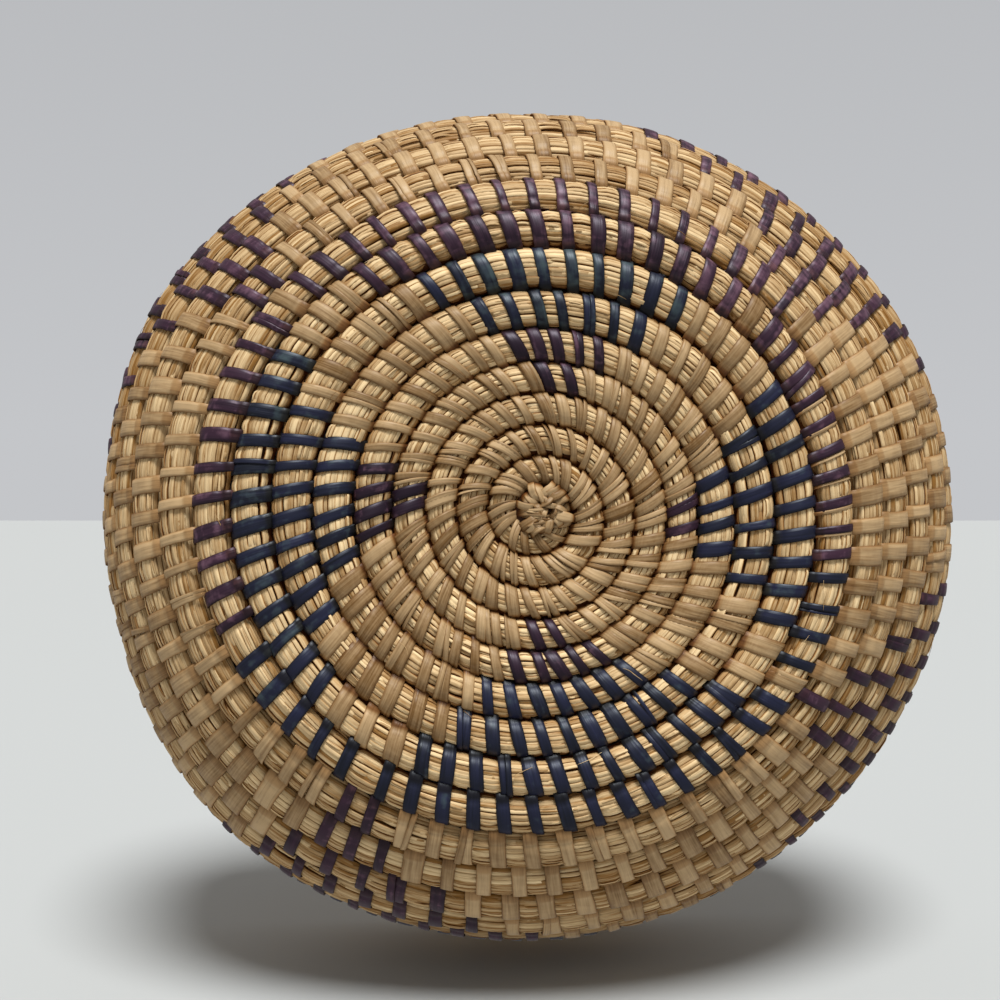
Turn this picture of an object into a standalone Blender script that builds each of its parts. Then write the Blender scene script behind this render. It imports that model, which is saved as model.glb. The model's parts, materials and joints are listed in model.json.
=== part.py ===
"""A coiled sweetgrass basket: a bundle of grass wound into a bowl and sewn with split leaf.

The bundle starts in a curled knot, winds flat to a foot turn, climbs the wall and ends in a
tapered rim. Dyed leaf strands wind around it in the runs that make the lobes of the pattern.
Metres, +Z up, the foot on z = 0, the mouth upwards.
"""
import math

import bmesh
import bpy
from mathutils import Matrix, Vector

MM = 0.001
FULL_TURN = 2.0 * math.pi

# Leaf strands
LEAF_THICKNESS = 0.3 * MM
LEAF_CLEARANCE = 0.35 * MM
LEAF_WIDTH = 2.6 * MM
LEAF_POINTS_PER_STITCH = 6

# Coil, measured between the middles of neighbouring turns. Two strands pass between two turns.
INNER_PITCH = 6.85 * MM
MIDDLE_PITCH = 8.8 * MM
WALL_PITCH = 9.9 * MM
FOOT_EASE = 0.35 * MM
BEND_EASE = 0.75 * MM
TURN_GAP = 3.0 * LEAF_CLEARANCE + 2.0 * LEAF_THICKNESS
FOOT_GAP = TURN_GAP + FOOT_EASE
BEND_GAP = TURN_GAP + BEND_EASE
CENTRE_TURN = 1.83
POINTS_PER_TURN = 24
FRAME_STEP_TURNS = 0.0004
BUNDLE_SIDES = 6

# Turns at which the pitch, gap and lean are set, with straight blends between them
PITCH_TURNS = (
    (CENTRE_TURN, INNER_PITCH),
    (6.5, INNER_PITCH),
    (8.5, MIDDLE_PITCH),
    (10.4, MIDDLE_PITCH),
    (11.4, WALL_PITCH),
    (22.0, WALL_PITCH),
)
GAP_TURNS = (
    (CENTRE_TURN, TURN_GAP),
    (7.5, TURN_GAP),
    (8.5, BEND_GAP),
    (9.6, BEND_GAP),
    (9.8, FOOT_GAP),
    (10.1, FOOT_GAP),
    (10.3, BEND_GAP),
    (11.2, BEND_GAP),
    (11.6, TURN_GAP),
    (22.0, TURN_GAP),
)
LEAN_DEGREES_AT_TURNS = (
    (CENTRE_TURN, -2.2),
    (9.57, -2.2),
    (9.6, -37.0),
    (9.8, -37.0),
    (9.85, 0.0),
    (10.45, 0.0),
    (10.8, 30.0),
    (12.0, 41.0),
    (13.0, 46.0),
    (14.0, 52.0),
    (15.0, 60.0),
    (16.0, 70.0),
    (17.0, 79.0),
    (18.0, 87.0),
    (19.0, 92.0),
    (20.0, 96.0),
    (22.0, 99.0),
)

# Where each length of the bundle ends, in turns
KNOT_START_TURN = 2.0
KNOT_END_TURN = 2.6
BASE_END_TURN = 10.85
WALL_SPLIT_TURN = 15.6
RIM_START_TURN = 20.1
RIM_END_TURN = 21.2
RIM_TAPER_TURNS = 0.5

KNOT_TIP_RADIUS = 1.3 * MM
RIM_TIP_RADIUS = 1.2 * MM
END_GAP = 0.3 * MM

# The foot turn is cut flat, a tenth of the bundle deep
FOOT_TURN = 10.1
FOOT_CUT_SHARE = 0.1
CUTTER_OVERRUN = 6.0 * MM

WELD_DISTANCE = 0.001 * MM

# Runs of dyed stitches: side of the bowl, label of the turn, dye, degrees of the middle stitch
# against the clock seen from below, and stitches in the run. The middle of turn label n lies at
# n + half a turn - degrees / 360 on the winding.
BASE_RUNS = (
    ("west", 6, "purple", -1.8, 2),
    ("west", 7, "navy", -1.0, 4),
    ("west", 8, "navy", 0.2, 6),
    ("west", 9, "navy", 2.6, 8),
    ("north", 6, "purple", 80.8, 2),
    ("north", 7, "purple", 82.8, 5),
    ("north", 8, "navy", 82.5, 7),
    ("north", 9, "navy", 85.2, 10),
    ("east", 6, "purple", 175.0, 2),
    ("east", 7, "purple", 175.5, 4),
    ("east", 8, "navy", 177.5, 6),
    ("east", 9, "navy", 181.0, 9),
    ("south", 6, "purple", 273.2, 2),
    ("south", 7, "purple", 278.0, 5),
    ("south", 8, "navy", 278.0, 7),
    ("south", 9, "navy", 281.0, 10),
)
WALL_RUNS = (
    ("northwest", 12, "purple", 41.5, 3),
    ("northwest", 13, "purple", 42.0, 5),
    ("northwest", 14, "purple", 45.0, 9),
    ("northwest", 15, "purple", 47.0, 12),
    ("northeast", 12, "purple", 139.5, 2),
    ("northeast", 13, "purple", 140.0, 3),
    ("northeast", 14, "purple", 141.5, 6),
    ("northeast", 15, "purple", 143.5, 9),
    ("southeast", 12, "purple", 240.2, 2),
    ("southeast", 13, "purple", 242.4, 3),
    ("southeast", 14, "purple", 246.0, 7),
    ("southeast", 15, "purple", 247.0, 9),
    ("southwest", 12, "purple", 325.0, 2),
    ("southwest", 13, "purple", 327.5, 3),
    ("southwest", 14, "purple", 331.0, 6),
    ("southwest", 15, "purple", 329.5, 10),
)
RING_RUNS = (
    ("east", 11, "navy", 221.0, 5),
    ("northeast", 11, "purple", 174.5, 11),
    ("north", 11, "purple", 88.0, 18),
)
BASE_STITCH_DEGREES = 6.9
RING_STITCH_DEGREES = 5.4
WALL_STITCH_DEGREES = 4.8

# Plain colours, roughness
GRASS = ((0.62, 0.45, 0.20, 1.0), 0.6)
DYES = {
    "navy": ((0.020, 0.032, 0.085, 1.0), 0.5),
    "purple": ((0.060, 0.026, 0.085, 1.0), 0.5),
}


def clear_scene():
    """Start from an empty scene."""
    for old in list(bpy.data.objects):
        bpy.data.objects.remove(old, do_unlink=True)


def new_collection(name):
    """A collection linked to the scene."""
    collection = bpy.data.collections.new(name)
    bpy.context.scene.collection.children.link(collection)
    return collection


def plain_material(name, finish):
    """A Principled material of one colour and roughness."""
    colour, roughness = finish
    material = bpy.data.materials.new(name)
    material.use_nodes = True
    shader = material.node_tree.nodes["Principled BSDF"]
    shader.inputs["Base Color"].default_value = colour
    shader.inputs["Roughness"].default_value = roughness
    shader.inputs["Metallic"].default_value = 0.0
    material.diffuse_color = colour
    return material


def blend(stations, turn):
    """The value at a turn, on straight lines between the stations."""
    previous_turn, previous_value = stations[0]
    for station_turn, value in stations[1:]:
        if turn <= station_turn:
            share = (turn - previous_turn) / (station_turn - previous_turn)
            return previous_value + share * (value - previous_value)
        previous_turn, previous_value = station_turn, value
    return previous_value


def coil_radius(turn):
    """Radius of the bundle's six-sided section, flats towards the neighbouring turns."""
    flat_width = blend(PITCH_TURNS, turn) - blend(GAP_TURNS, turn)
    return 0.5 * flat_width / math.cos(math.pi / BUNDLE_SIDES)


def wind_profile():
    """Radius and height of the coil's middle line, one entry for each point of the winding."""
    steps = round((RIM_END_TURN - CENTRE_TURN) * POINTS_PER_TURN) + 2
    first = math.ceil(CENTRE_TURN * POINTS_PER_TURN)
    radius, height, turn = 0.0, 0.0, CENTRE_TURN
    profile = {}
    for index in range(first, first + steps):
        next_turn = index / POINTS_PER_TURN
        middle = 0.5 * (turn + next_turn)
        pitch = blend(PITCH_TURNS, middle)
        lean = math.radians(blend(LEAN_DEGREES_AT_TURNS, middle))
        radius += pitch * math.cos(lean) * (next_turn - turn)
        height += pitch * math.sin(lean) * (next_turn - turn)
        profile[index] = (radius, height)
        turn = next_turn
    return profile


PROFILE = wind_profile()


def foot_height():
    """Height that sets the foot turn's lowest edge below z = 0 by the depth of the flat cut."""
    radius = coil_radius(FOOT_TURN)
    _, height = PROFILE[round(FOOT_TURN * POINTS_PER_TURN)]
    return radius - 2.0 * radius * FOOT_CUT_SHARE - height


LIFT = foot_height()


def coil_point(turn):
    """Middle of the bundle at a turn, on the straight line between the winding's points."""
    place = turn * POINTS_PER_TURN
    low = math.floor(place)
    share = place - low
    ends = []
    for index in (low, low + 1):
        radius, height = PROFILE[index]
        angle = FULL_TURN * index / POINTS_PER_TURN
        ends.append(Vector((radius * math.cos(angle), radius * math.sin(angle), height + LIFT)))
    return ends[0].lerp(ends[1], share)


def winding_turns(start, end):
    """Turns of the points from start to end: both ends and each whole step between them."""
    first = math.floor(start * POINTS_PER_TURN) + 1
    last = math.ceil(end * POINTS_PER_TURN) - 1
    return [start] + [index / POINTS_PER_TURN for index in range(first, last + 1)] + [end]


def make_poly_curve(name, collection, points, radii, tilts, depth, resolution):
    """An open curve through the points, with a round section scaled by the radii."""
    data = bpy.data.curves.new(name, "CURVE")
    data.dimensions = "3D"
    data.twist_mode = "Z_UP"
    data.bevel_depth = depth
    data.bevel_resolution = resolution
    data.use_fill_caps = True
    spline = data.splines.new("POLY")
    spline.points.add(len(points) - 1)
    for point, place, radius, tilt in zip(spline.points, points, radii, tilts):
        point.co = (*place, 1.0)
        point.radius = radius
        point.tilt = tilt
    item = bpy.data.objects.new(name, data)
    collection.objects.link(item)
    return item


def make_bundle(name, collection, material, start, end, shape_radius):
    """One length of the grass bundle along the winding, lying on the turn before it."""
    turns = winding_turns(start, end)
    points = []
    for turn in turns:
        centre, _, _, rise = coil_frame(turn)
        slack = coil_radius(turn) - shape_radius(turn)
        points.append(centre - slack * rise)
    radii = [shape_radius(turn) / MM for turn in turns]
    flats = math.pi / BUNDLE_SIDES
    tilts = [flats - math.radians(blend(LEAN_DEGREES_AT_TURNS, turn)) for turn in turns]
    bundle = make_poly_curve(name, collection, points, radii, tilts, MM, 1)
    bundle.data.materials.append(material)
    return bundle


def knot_radius(turn):
    """The knot swells from its tip to the full bundle."""
    share = (turn - KNOT_START_TURN) / (KNOT_END_TURN - KNOT_START_TURN)
    return KNOT_TIP_RADIUS + share * (coil_radius(turn) - KNOT_TIP_RADIUS)


def rim_radius(turn):
    """The rim tapers over its last stretch."""
    share = min(1.0, (RIM_END_TURN - turn) / RIM_TAPER_TURNS)
    return RIM_TIP_RADIUS + share * (coil_radius(turn) - RIM_TIP_RADIUS)


def turns_for_gap(turn):
    """Half of the end gap as a share of a turn there."""
    radius, _ = PROFILE[round(turn * POINTS_PER_TURN)]
    return 0.5 * END_GAP / (FULL_TURN * radius)


def curve_to_mesh(item):
    """Replace a curve with a mesh whose caps are welded."""
    depsgraph = bpy.context.evaluated_depsgraph_get()
    mesh = bpy.data.meshes.new_from_object(item.evaluated_get(depsgraph))
    work = bmesh.new()
    work.from_mesh(mesh)
    bmesh.ops.remove_doubles(work, verts=work.verts, dist=WELD_DISTANCE)
    work.to_mesh(mesh)
    work.free()
    replacement = bpy.data.objects.new("replacement", mesh)
    replacement.matrix_world = item.matrix_world.copy()
    item.users_collection[0].objects.link(replacement)
    name = item.name
    bpy.data.objects.remove(item, do_unlink=True)
    replacement.name = name
    return replacement


def cut_foot(bundle, cutters):
    """Cut the foot turn flat on z = 0."""
    reach = PROFILE[round(BASE_END_TURN * POINTS_PER_TURN)][0] + CUTTER_OVERRUN
    bpy.ops.mesh.primitive_cube_add(size=1.0)
    cutter = bpy.context.active_object
    cutter.name = "foot_cutter"
    cutter.data.transform(Matrix.Diagonal((2.0 * reach, 2.0 * reach, CUTTER_OVERRUN, 1.0)))
    cutter.location = (0.0, 0.0, -0.5 * CUTTER_OVERRUN)
    for holder in list(cutter.users_collection):
        holder.objects.unlink(cutter)
    cutters.objects.link(cutter)
    cutter.hide_render = True
    cutter.display_type = "WIRE"
    cut = bundle.modifiers.new("flat foot", "BOOLEAN")
    cut.operation = "DIFFERENCE"
    cut.object = cutter


def coil_frame(turn):
    """Middle of the bundle, its direction, the way across the wall and the way to the mouth."""
    along = coil_point(turn + FRAME_STEP_TURNS) - coil_point(turn - FRAME_STEP_TURNS)
    along.normalize()
    lean = math.radians(blend(LEAN_DEGREES_AT_TURNS, turn))
    angle = FULL_TURN * turn
    rise = Vector((math.cos(lean) * math.cos(angle), math.cos(lean) * math.sin(angle), math.sin(lean)))
    rise = (rise - rise.dot(along) * along).normalized()
    return coil_point(turn), along, rise.cross(along), rise


def strand_sections(label, middle_degrees, stitches, stitch_degrees):
    """Three-cornered sections of a strand that winds around the bundle, one round a stitch."""
    middle_turn = label + 0.5 - middle_degrees / 360.0
    stitch_turns = stitch_degrees / 360.0
    sections = []
    for index in range(stitches * LEAF_POINTS_PER_STITCH + 1):
        share = index / LEAF_POINTS_PER_STITCH
        turn = middle_turn + (share - 0.5 * stitches) * stitch_turns
        centre, along, inward, rise = coil_frame(turn)
        angle = FULL_TURN * share
        out = math.cos(angle) * inward + math.sin(angle) * rise
        back = centre + (coil_radius(turn) + LEAF_CLEARANCE) * out
        edge = 0.5 * LEAF_WIDTH * along
        sections.append((back - edge, back + edge, back + LEAF_THICKNESS * out))
    return sections


def make_strand(name, collection, material, sections):
    """One run of stitches: a strip with a flat back and a low crown, lofted through its sections."""
    work = bmesh.new()
    rings = [[work.verts.new(corner) for corner in section] for section in sections]
    for near, far in zip(rings, rings[1:]):
        for side in range(len(near)):
            after = (side + 1) % len(near)
            work.faces.new((near[side], near[after], far[after], far[side]))
    work.faces.new(rings[0])
    work.faces.new(rings[-1])
    bmesh.ops.recalc_face_normals(work, faces=work.faces)
    mesh = bpy.data.meshes.new(name)
    work.to_mesh(mesh)
    work.free()
    mesh.shade_smooth()
    mesh.materials.append(material)
    strand = bpy.data.objects.new(name, mesh)
    collection.objects.link(strand)


def least_gap(start, end):
    """Least clear distance between the coil's neighbouring turns, measured on its points."""
    least = WALL_PITCH
    turns = winding_turns(start, end)
    for turn in turns:
        for step in range(-1, 2):
            other = turn + 1.0 + step / POINTS_PER_TURN
            if other <= end:
                span = (coil_point(other) - coil_point(turn)).length
                flats = (coil_radius(turn) + coil_radius(other)) * math.cos(math.pi / BUNDLE_SIDES)
                least = min(least, span - flats)
    return least


def main():
    """Build the basket."""
    clear_scene()
    parts = new_collection("coiled_sweetgrass_basket")
    cutters = new_collection("cutters")
    grass = plain_material("grass", GRASS)
    dyes = {name: plain_material(name, finish) for name, finish in DYES.items()}

    lengths = (
        ("start_knot", KNOT_START_TURN, KNOT_END_TURN, knot_radius),
        ("base_coil", KNOT_END_TURN, BASE_END_TURN, coil_radius),
        ("lower_wall_coil", BASE_END_TURN, WALL_SPLIT_TURN, coil_radius),
        ("upper_wall_coil", WALL_SPLIT_TURN, RIM_START_TURN, coil_radius),
        ("rim_coil", RIM_START_TURN, RIM_END_TURN, rim_radius),
    )
    for name, start, end, shape_radius in lengths:
        opened = start + turns_for_gap(start)
        closed = end - turns_for_gap(end)
        bundle = make_bundle(name, parts, grass, opened, closed, shape_radius)
        if name == "base_coil":
            cut_foot(curve_to_mesh(bundle), cutters)

    families = (
        ("base", BASE_RUNS, BASE_STITCH_DEGREES),
        ("wall", WALL_RUNS, WALL_STITCH_DEGREES),
        ("ring", RING_RUNS, RING_STITCH_DEGREES),
    )
    for family, runs, spacing in families:
        for side, label, dye, middle, stitches in runs:
            name = f"{family}_{side}_strand_turn_{label}"
            sections = strand_sections(label, middle, stitches, spacing)
            make_strand(name, parts, dyes[dye], sections)

    gap = least_gap(KNOT_END_TURN, RIM_END_TURN)
    print(f"least gap between the coil's turns {gap / MM:.2f} mm")


main()
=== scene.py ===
"""A coiled sweetgrass basket, dressed over its CAD solids.

One bundle of grass stems winds from a knot in the middle of the base to the rim. Flat split leaf
is stitched around it in natural, navy and purple. Metres, +Z up, the foot on z = 0.
"""

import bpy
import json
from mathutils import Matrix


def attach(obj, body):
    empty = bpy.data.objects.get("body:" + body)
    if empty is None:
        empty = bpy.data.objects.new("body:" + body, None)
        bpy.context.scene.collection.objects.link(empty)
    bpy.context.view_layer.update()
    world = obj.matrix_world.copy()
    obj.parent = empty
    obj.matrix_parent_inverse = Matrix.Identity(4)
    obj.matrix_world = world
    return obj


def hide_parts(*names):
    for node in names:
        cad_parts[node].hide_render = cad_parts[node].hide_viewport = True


bl_info = {
    "name": "Coiled sweetgrass basket",
    "version": (1, 0, 0),
    "blender": (4, 5, 0),
    "location": "3D View > Sidebar > Basket",
    "description": "Grass bundle, leaf stitches and studio of a coiled basket",
    "category": "Object",
}

import functools
import json
import math

import bpy
import numpy as np
from mathutils import Matrix, Vector

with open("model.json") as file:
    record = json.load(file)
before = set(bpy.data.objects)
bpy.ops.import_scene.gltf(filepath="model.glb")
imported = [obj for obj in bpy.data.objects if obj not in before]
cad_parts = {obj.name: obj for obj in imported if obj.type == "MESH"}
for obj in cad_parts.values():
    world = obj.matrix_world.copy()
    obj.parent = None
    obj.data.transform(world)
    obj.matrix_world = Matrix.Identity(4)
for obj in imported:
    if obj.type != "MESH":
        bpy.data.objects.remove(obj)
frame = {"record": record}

MM = 0.001
FULL_TURN = 2.0 * math.pi

# Middle line of the coil: turn, radius and height in millimetres
COIL_LINE = (
    (1.83, 0.0, 7.3), (2.5, 4.6, 7.0), (3.5, 11.4, 6.7), (4.5, 18.4, 6.4), (5.5, 25.4, 6.1),
    (6.5, 32.6, 5.8), (7.5, 40.2, 5.5), (8.5, 48.7, 5.2), (9.5, 57.8, 4.9), (10.5, 66.3, 5.8),
    (11.5, 74.1, 9.8), (12.5, 81.5, 16.1), (13.5, 88.8, 23.2), (14.5, 95.2, 30.9),
    (15.5, 99.5, 39.3), (16.5, 101.9, 48.3), (17.5, 103.4, 57.7), (18.5, 104.0, 67.2),
    (19.5, 103.7, 76.9), (20.5, 102.7, 86.4), (21.5, 101.3, 96.0),
)
# How the hand-wound turns stray from true circles: turn, millimetres along X and Y, share by
# which they are wider along X than along Y
STRAY = (
    (2.0, 0.0, 0.0, 0.0), (6.0, 0.0, 0.0, 0.0), (8.0, 0.8, 0.0, 0.03), (10.0, 0.6, 0.9, 0.03),
    (11.0, 0.6, 1.0, 0.03), (12.0, 0.8, 0.7, 0.03), (13.0, 1.1, 0.5, 0.03), (14.0, 0.4, 0.5, 0.028),
    (15.5, -1.0, 0.5, 0.025), (17.0, -1.9, 0.5, 0.023), (22.0, -1.9, 0.5, 0.023),
)
# Where the upper wall bulges out or is pressed in: clock degrees seen from below, millimetres
BULGES = (
    (0.0, 0.4), (25.0, 1.7), (50.0, 0.5), (90.0, -1.0), (120.0, 0.3), (150.0, 2.3), (172.0, -0.4),
    (195.0, -1.2), (225.0, 1.5), (255.0, 0.0), (315.0, -1.4), (345.0, 0.0), (360.0, 0.4),
)
# Share of the bulges that shows: turn, share
BULGES_AT_TURNS = ((11.5, 0.0), (15.0, 1.0))
# Half of the bundle as a share of half the way to the next turn: turn, share
FILL_AT_TURNS = ((2.0, 0.97), (6.0, 0.97), (7.5, 1.0), (10.0, 1.005), (11.0, 1.03))
# Height of the middle of the knot
BASE_MIDDLE = 7.3 * MM
COIL_START_TURN = 2.0
COIL_END_TURN = 21.2
# Turns that the winding's table covers, its steps a turn, and where it goes straight on
TABLE_START_TURN = 1.6
TABLE_END_TURN = 23.6
TABLE_STEPS_A_TURN = 720.0
STRAIGHT_PAST_TURN = 21.1
# Up to this radius the bundle is narrower: this half rise in the middle, and more with the radius
NARROW_RADIUS = 9.0 * MM
NARROW_HALF_RISE = 0.8 * MM
NARROW_GROWTH_SHARE = 0.62
# Depth of the bundle as a share of its rise: turn, share
DEPTH_AT_TURNS = ((2.0, 0.95), (9.0, 0.95), (12.0, 0.94))
# The rim tapers over this share of a turn, down to these shares of its rise and of its depth
RIM_TAPER_TURNS = 0.55
RIM_TIP_RISE_SHARE = 0.26
RIM_TIP_DEPTH_SHARE = 0.35
# Power of the section's outline, 2 for an oval and more for a rounded square: turn, power
WALL_SQUARENESS = 2.7
SQUARENESS_AT_TURNS = ((5.0, 2.1), (8.0, WALL_SQUARENESS))
# Share to which a turn is flat base, or wall: turn, share
FLAT_AT_TURNS = ((10.4, 1.0), (11.4, 0.0))
WALL_AT_TURNS = ((9.6, 0.0), (11.6, 1.0))

# Angle from one stitch to the next: turn, degrees
STITCH_DEGREES_AT_TURNS = (
    (2.0, 44.0), (2.6, 30.0), (3.2, 19.0), (4.0, 14.0), (5.0, 11.0), (6.0, 9.0), (7.0, 7.6), (8.5, 6.7),
    (10.0, 5.9), (11.5, 5.4), (13.0, 5.2), (22.0, 5.1),
)
# Width of a natural and of a dyed stitch: turn, millimetres
NATURAL_WIDTH_AT_TURNS = (
    (2.0, 2.3), (4.0, 2.5), (6.0, 2.8), (8.0, 3.2), (10.0, 3.8), (11.8, 4.0), (11.9, 2.7), (12.12, 2.7),
    (12.25, 4.1), (22.0, 4.4),
)
DYED_WIDTH_AT_TURNS = (
    (2.0, 2.6), (7.0, 2.75), (9.0, 2.95), (9.98, 3.1), (10.1, 3.3), (10.36, 3.3), (10.4, 2.9), (10.45, 2.3),
    (10.55, 2.3), (10.6, 3.0), (11.2, 2.6), (12.0, 2.8), (14.0, 3.1), (22.0, 3.5),
)
# Share by which the stitches are wider or narrower around the basket: clock degrees, share
WIDTH_AT_CLOCK = ((0.0, 1.03), (45.0, 0.95), (90.0, 0.86), (135.0, 0.9), (180.0, 0.92), (225.0, 1.08),
                  (270.0, 0.92), (315.0, 0.97), (360.0, 1.03))
# Lean of a stitch on the outer face, from its top to its foot: turn, millimetres along the coil
STITCH_LEAN_AT_TURNS = (
    (2.0, 2.4), (4.0, 3.2), (5.5, 3.3), (7.0, 2.9), (8.5, 2.2), (10.0, 1.9), (11.0, 1.5), (12.5, 0.9),
    (22.0, 0.7),
)

# How much wear the dye shows, with painted sheen on the top where the light falls: clock degrees seen from
# below, share
WEAR_AND_SHEEN_AT_CLOCK = ((0.0, 0.1), (20.0, 0.1), (35.0, 0.8), (75.0, 0.9), (110.0, 0.8), (130.0, 0.3),
                 (150.0, 0.5), (205.0, 0.5), (230.0, 0.1), (360.0, 0.1))
# How much less wear and painted sheen the dye shows, and how much deeper the purple is, by the middle: turn,
# share
WEAR_AND_SHEEN_AT_TURNS = ((7.5, 0.2), (9.0, 1.0))
DEEPER_PURPLE_AT_TURNS = ((7.5, 0.55), (9.0, 0.0))
# How much paler the strips of the wall are: turn, share
PALER_AT_TURNS = ((10.0, 0.0), (12.0, 0.3))
# How uneven the sewing is: turn, share
UNEVEN_AT_TURNS = ((4.0, 1.0), (7.0, 0.5), (10.0, 0.2))
# How often a natural or a dyed stitch is split or sewn over once more: turn, share
NATURAL_DOUBLED_AT_TURNS = ((5.0, 0.6), (8.0, 0.35), (12.0, 0.12))
DYED_DOUBLED_AT_TURNS = ((5.0, 0.1), (8.0, 0.05), (12.0, 0.05))
# Share of the wall's way of sewing in a stitch: turn, share
WALL_SEWING_AT_TURNS = ((5.0, 0.15), (8.0, 0.4), (9.6, 0.5), (11.6, 1.0))
FIRST_STITCH_TURN = COIL_START_TURN + 0.4
LAST_STITCH_TURN = COIL_END_TURN - 0.01
# Least way from one dyed stitch to the next, as a share of the pitch
LEAST_PITCH_SHARE = 0.55
# How far a strip stands off the bundle, wavers along it, is pressed in at its ends, and tilts
STITCH_LIFT = 0.09 * MM
STITCH_WAVER = 0.14 * MM
STITCH_SQUEEZE = 0.15 * MM
STITCH_TILT = 0.24 * MM
# A strip is at most this share of its width thick
MOST_THICKNESS_SHARE = 0.22
# Pale strips beside purple stitches on one side of the foot: turn of their middle, reach in turns,
# width, and way from the purple strip's edge to their middle
EDGING_TURN = 10.476
EDGING_REACH = 0.046
EDGING_WIDTH = 0.75 * MM
EDGING_GAP = 0.35 * MM

NATURAL, NAVY, PURPLE = 0, 1, 2

# Dyed runs: label of the turn, dye, clock degrees of the first and last stitch, stitches. The
# clock is seen from below, and label n at d degrees is turn n + 0.5 - d / 360.
DYED_RUNS = (
    (6, PURPLE, -5.5, 2.0, 2), (6, PURPLE, 75.5, 86.0, 2), (6, PURPLE, 172.0, 178.5, 2),
    (6, PURPLE, 268.5, 277.5, 2),
    (7, NAVY, -11.5, 10.0, 4), (7, PURPLE, 68.5, 97.0, 5), (7, PURPLE, 164.0, 186.5, 4),
    (7, PURPLE, 263.0, 293.0, 5),
    (8, NAVY, -18.5, 19.5, 6), (8, NAVY, 61.5, 103.5, 7), (8, NAVY, 160.5, 194.5, 6),
    (8, NAVY, 256.0, 300.0, 7),
    (9, NAVY, -25.0, 27.0, 9), (9, NAVY, 56.0, 114.5, 10), (9, NAVY, 156.5, 206.5, 9),
    (9, NAVY, 253.0, 309.0, 10),
    (10, PURPLE, -9.0, 38.0, 10), (10, PURPLE, 48.5, 125.0, 14), (10, NAVY, 148.0, 220.0, 13),
    (10, NAVY, 246.0, 315.0, 13),
    (11, PURPLE, 41.0, 135.0, 18), (11, PURPLE, 144.0, 207.0, 12), (11, NAVY, 209.5, 234.0, 5),
    (11, NAVY, 242.0, 320.0, 15), (11, NAVY, 329.0, 346.5, 4),
    (12, PURPLE, 36.0, 47.0, 3), (12, PURPLE, 138.0, 142.0, 2), (12, PURPLE, 238.0, 242.5, 2),
    (12, PURPLE, 325.0, 325.0, 1),
    (13, PURPLE, 31.5, 52.0, 5), (13, PURPLE, 135.0, 145.0, 3), (13, PURPLE, 238.0, 247.0, 3),
    (13, PURPLE, 321.5, 333.0, 3),
    (14, PURPLE, 27.5, 64.0, 8), (14, PURPLE, 131.0, 152.0, 5), (14, PURPLE, 235.0, 257.0, 5),
    (14, PURPLE, 324.0, 340.0, 4),
    (15, PURPLE, 22.0, 73.0, 11), (15, PURPLE, 126.0, 161.0, 8), (15, PURPLE, 232.0, 262.0, 7),
    (15, PURPLE, 311.0, 348.0, 8),
    (16, PURPLE, 14.0, 80.0, 14), (16, PURPLE, 120.0, 170.0, 11), (16, PURPLE, 226.0, 270.0, 10),
    (16, PURPLE, 303.0, 350.0, 10),
    (17, NAVY, 8.0, 88.0, 17), (17, NAVY, 112.0, 178.0, 14), (17, NAVY, 218.0, 278.0, 13),
    (17, NAVY, 296.0, 354.0, 13),
    (18, NAVY, -2.0, 355.0, 71),
    (20, PURPLE, -40.0, 355.0, 78),
)

# Pieces of the stitching: name, dye, and the turns that they lie between
STITCH_GROUPS = (
    ("natural_stitches_base", NATURAL, 2.0, 10.4),
    ("natural_stitches_lower_wall", NATURAL, 10.4, 15.6),
    ("natural_stitches_upper_wall", NATURAL, 15.6, 21.3),
    ("navy_stitches", NAVY, 2.0, 21.3),
    ("purple_stitches_lower", PURPLE, 2.0, 15.6),
    ("purple_stitches_upper", PURPLE, 15.6, 21.3),
)
# Pieces of the grass: name, CAD nodes that they stand for, and the turns that part them
GRASS_ZONES = (
    ("base_grass", ("start_knot", "base_coil"), (2.0, 6.4, 8.1, 9.3, 10.15, 10.85)),
    ("lower_wall_grass", ("lower_wall_coil",), (10.85, 11.65, 12.45, 13.25, 14.05, 14.85, 15.6)),
    ("upper_wall_grass", ("upper_wall_coil",), (15.6, 16.35, 17.1, 17.85, 18.6, 19.35, 20.1)),
    ("rim_grass", ("rim_coil",), (20.1, 20.7, COIL_END_TURN)),
)

# Straight pieces of a stem are shorter where the coil is tight: turn, share of the stem step
STEM_STEP_AT_TURNS = ((7.0, 0.85), (11.0, 1.25))
# Stems follow one another in lanes: way from one to the next as a share of a stem's length, how
# far one strays in its lane and how wide it is as shares of the lane, and how high it lies
STEM_ADVANCE_SHARE = 0.95
STEM_STRAY_SHARE = 0.2
STEM_WIDTH_SHARES = (0.95, 1.4)
STEM_HEIGHTS = (-0.2, 0.12)
# Loose stems: how many to a stem's length of bundle, length as a share of a stem's, how far around
# the bundle they slant, width as a share of a lane, and millimetres that they stand proud
LOOSE_STEMS = 16
LOOSE_LENGTH_SHARE = 0.3
LOOSE_SLANT_SHARE = 0.1
LOOSE_WIDTH_SHARES = (0.35, 0.8)
LOOSE_HEIGHTS = (0.2, 0.4)
STEM_TIP_LENGTH = 5.0 * MM
STEM_TIP_DIP = 0.8 * MM
# Millimetres that a stem lies deep under a stitch, rises halfway between two, and wavers
PRESSED_DEPTH = 0.26
SWELL = 0.3
STEM_WAVER = 0.1
STEM_TUCK = 0.2 * MM
SHORTEST_STEM = 4.0 * MM
# Outline of a section against a round one's: power, share
GIRTH_AT_POWERS = ((2.0, 1.0), (WALL_SQUARENESS, 1.09))
# Share of the pitch that a stitch presses flat: turn, share. Past it a stem rises over SWELL_SHARE.
PRESSED_AT_TURNS = ((9.9, 0.28), (10.05, 0.5), (10.4, 0.5), (10.5, 0.28))
SWELL_SHARE = 0.42
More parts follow.
